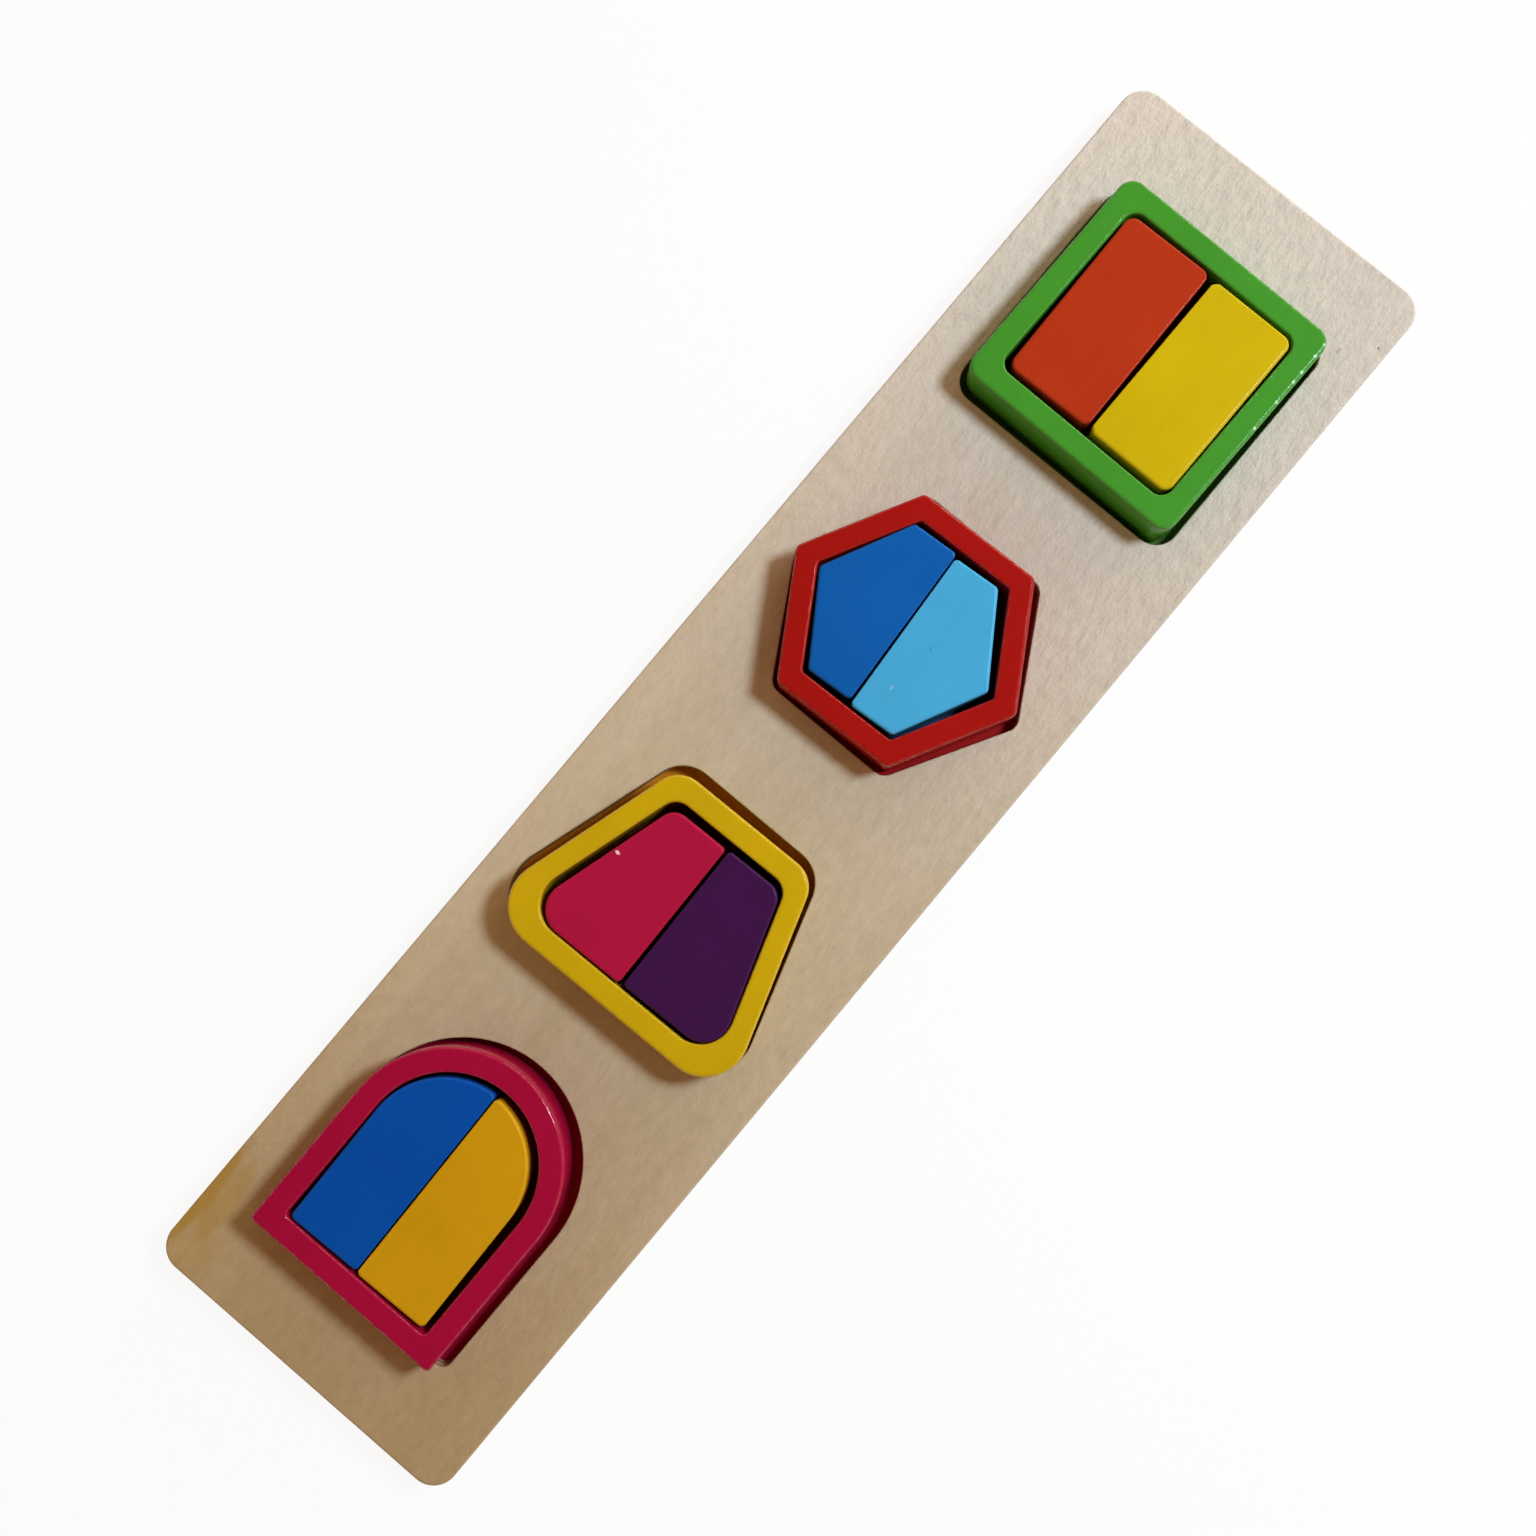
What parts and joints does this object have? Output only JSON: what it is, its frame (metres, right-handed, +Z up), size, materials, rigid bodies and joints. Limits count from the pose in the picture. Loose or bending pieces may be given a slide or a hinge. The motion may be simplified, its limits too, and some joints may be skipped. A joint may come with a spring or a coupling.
{
  "type": "colour matching board",
  "caption": "Long wooden inset board with recesses for painted frames, square, hexagon, trapezoid and arch, each frame holding a shape split in halves to lift out, sort and match by colour.",
  "frame": {"origin": "centre of the board's underside", "axes": "+X along the board from the arch to the square, +Y across it, +Z up out of the recesses"},
  "size_m": [0.4, 0.0964, 0.022],
  "materials": {
    "birch_deck": "bare sanded plywood",
    "birch_back": "sanded plywood, bare but for the painted recess floors",
    "green_paint": "satin paint",
    "orange_paint": "satin paint",
    "yellow_paint": "satin paint",
    "red_paint": "satin paint",
    "dark_blue_paint": "satin paint",
    "light_blue_paint": "satin paint",
    "golden_paint": "satin paint",
    "crimson_paint": "satin paint",
    "purple_paint": "satin paint",
    "magenta_paint": "satin paint",
    "blue_paint": "satin paint",
    "amber_paint": "satin paint"
  },
  "bodies": {
    "board": {"base_panel": "birch_back", "top_panel": "birch_deck"},
    "square_frame": {"green_square_frame": "green_paint"},
    "square_upper_half": {"orange_square_half": "orange_paint"},
    "square_lower_half": {"yellow_square_half": "yellow_paint"},
    "hexagon_frame": {"red_hexagon_frame": "red_paint"},
    "hexagon_upper_half": {"dark_blue_hexagon_half": "dark_blue_paint"},
    "hexagon_lower_half": {"light_blue_hexagon_half": "light_blue_paint"},
    "trapezoid_frame": {"yellow_trapezoid_frame": "golden_paint"},
    "trapezoid_upper_half": {"crimson_trapezoid_half": "crimson_paint"},
    "trapezoid_lower_half": {"purple_trapezoid_half": "purple_paint"},
    "arch_frame": {"magenta_arch_frame": "magenta_paint"},
    "arch_upper_half": {"blue_arch_half": "blue_paint"},
    "arch_lower_half": {"amber_arch_half": "amber_paint"}
  },
  "joints": [
    {"name": "square_frame_lift", "type": "slide", "parent": "board", "child": "square_frame", "axis": [0, 0, 1], "range_m": [0, 0.03]},
    {"name": "square_upper_lift", "type": "slide", "parent": "board", "child": "square_upper_half", "axis": [0, 0, 1], "range_m": [0, 0.03]},
    {"name": "square_lower_lift", "type": "slide", "parent": "board", "child": "square_lower_half", "axis": [0, 0, 1], "range_m": [0, 0.03]},
    {"name": "hexagon_frame_lift", "type": "slide", "parent": "board", "child": "hexagon_frame", "axis": [0, 0, 1], "range_m": [0, 0.03]},
    {"name": "hexagon_upper_lift", "type": "slide", "parent": "board", "child": "hexagon_upper_half", "axis": [0, 0, 1], "range_m": [0, 0.03]},
    {"name": "hexagon_lower_lift", "type": "slide", "parent": "board", "child": "hexagon_lower_half", "axis": [0, 0, 1], "range_m": [0, 0.03]},
    {"name": "trapezoid_frame_lift", "type": "slide", "parent": "board", "child": "trapezoid_frame", "axis": [0, 0, 1], "range_m": [0, 0.03]},
    {"name": "trapezoid_upper_lift", "type": "slide", "parent": "board", "child": "trapezoid_upper_half", "axis": [0, 0, 1], "range_m": [0, 0.03]},
    {"name": "trapezoid_lower_lift", "type": "slide", "parent": "board", "child": "trapezoid_lower_half", "axis": [0, 0, 1], "range_m": [0, 0.03]},
    {"name": "arch_frame_lift", "type": "slide", "parent": "board", "child": "arch_frame", "axis": [0, 0, 1], "range_m": [0, 0.03]},
    {"name": "arch_upper_lift", "type": "slide", "parent": "board", "child": "arch_upper_half", "axis": [0, 0, 1], "range_m": [0, 0.03]},
    {"name": "arch_lower_lift", "type": "slide", "parent": "board", "child": "arch_lower_half", "axis": [0, 0, 1], "range_m": [0, 0.03]}
  ]
}
